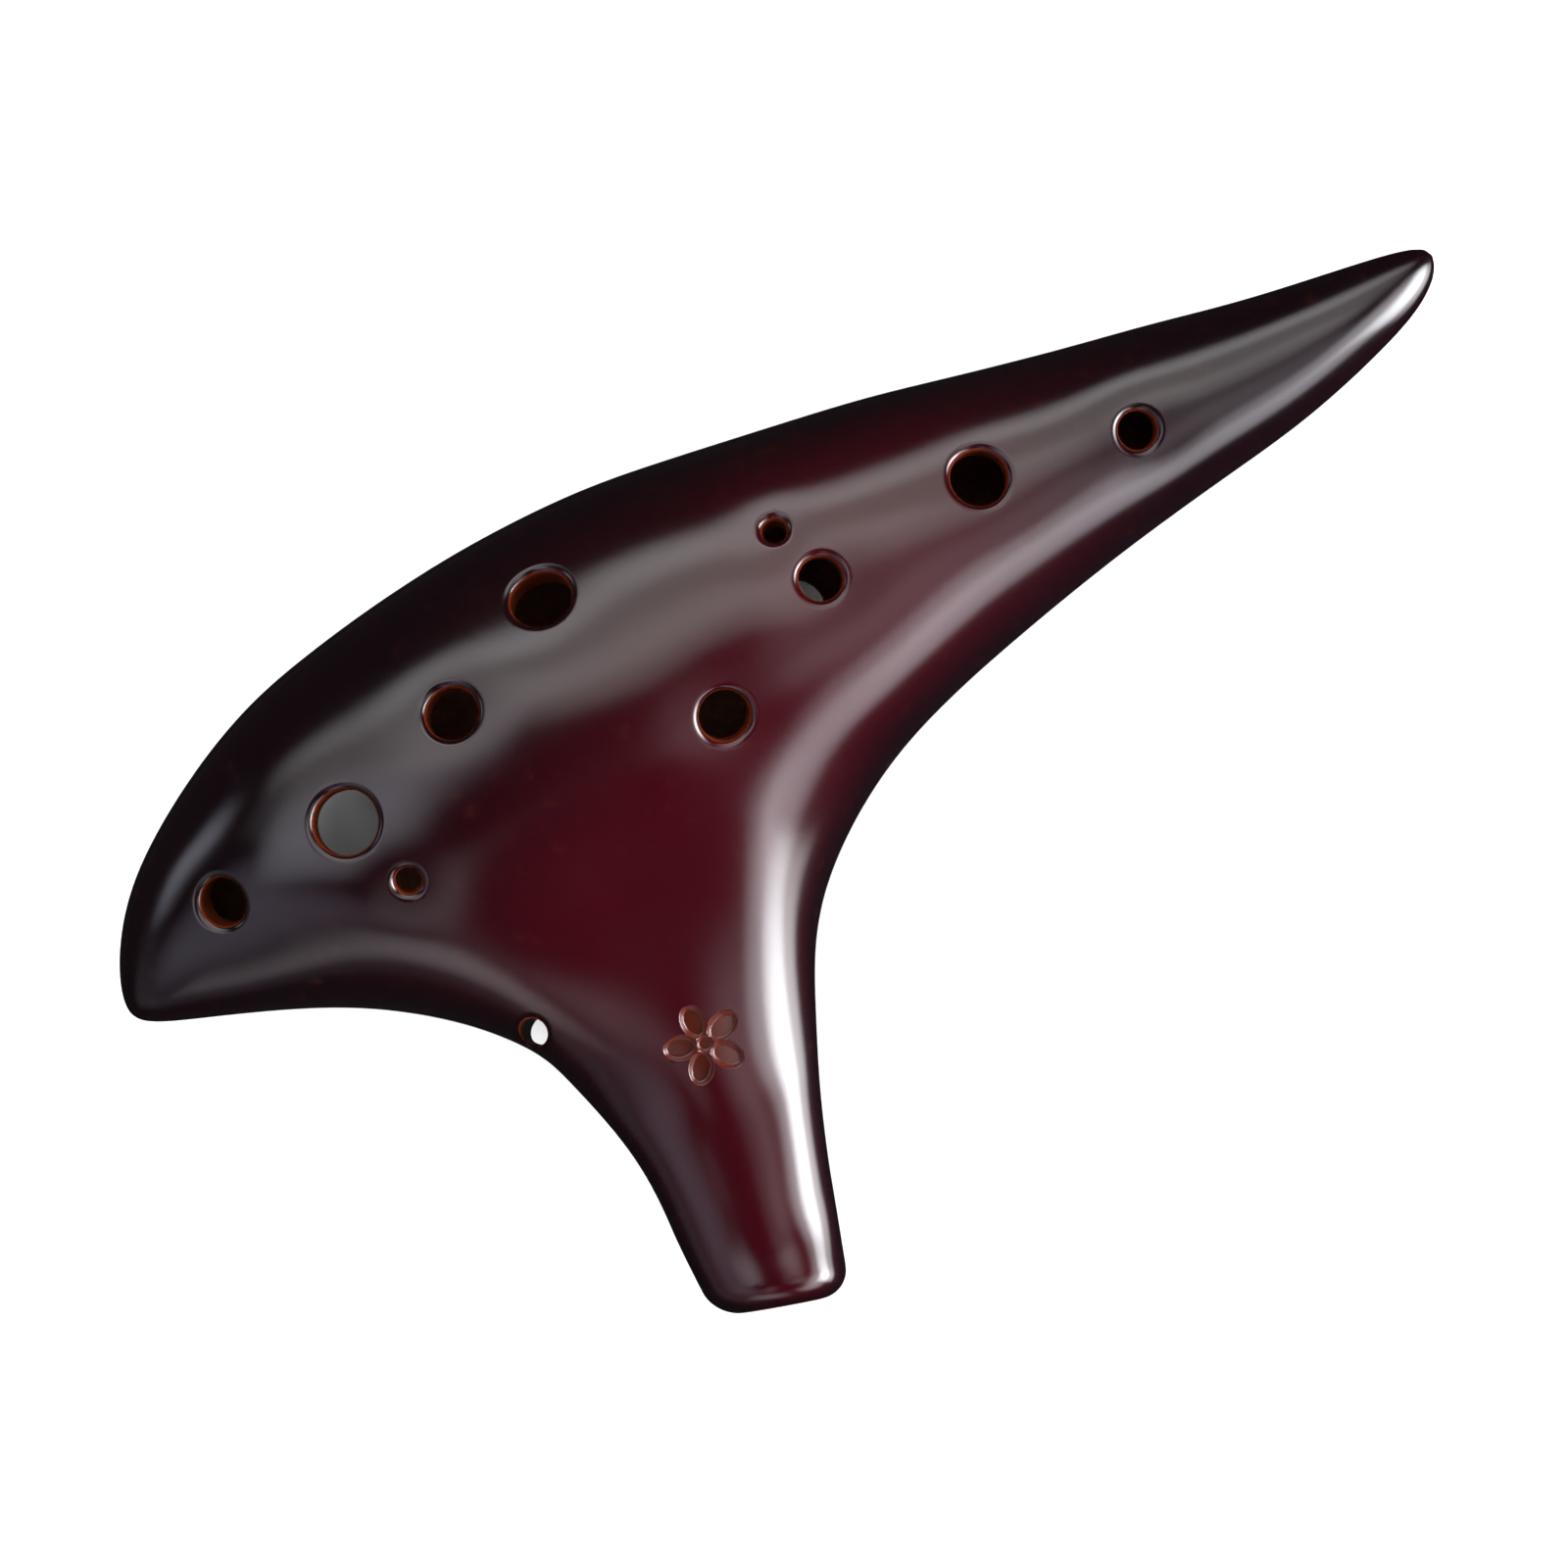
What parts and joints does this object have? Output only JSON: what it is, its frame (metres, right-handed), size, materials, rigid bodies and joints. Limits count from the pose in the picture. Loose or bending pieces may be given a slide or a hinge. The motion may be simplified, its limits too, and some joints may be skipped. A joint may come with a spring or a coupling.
{
  "type": "ocarina",
  "caption": "Transverse glazed clay ocarina: hollow sweet-potato body with finger and thumb holes, windway stem, sounding window and a cord hole.",
  "frame": {"origin": "centre of the bounding box in plan, at its lowest point, with the instrument lying on its back", "axes": "+X from the head to the tail tip, +Y away from the mouthpiece, +Z out of the finger-hole side"},
  "size_m": [0.1861, 0.1033, 0.0429],
  "materials": {
    "glazed_front": "glossy wine-red glaze",
    "glazed_back": "glossy wine-red glaze",
    "glazed_roof": "glossy wine-red glaze",
    "glazed_labium": "glaze worn thin to rust at the edge",
    "glazed_eye": "glossy wine-red glaze",
    "bare_clay": "unglazed fired clay",
    "bare_slip": "unglazed fired slip"
  },
  "bodies": {
    "root": {"front_shell": "glazed_front", "back_shell": "glazed_back", "windway_roof": "glazed_roof", "windway_block": "bare_clay", "labium": "glazed_labium", "cord_eye": "glazed_eye", "seam_slip": "bare_slip"}
  },
  "joints": []
}
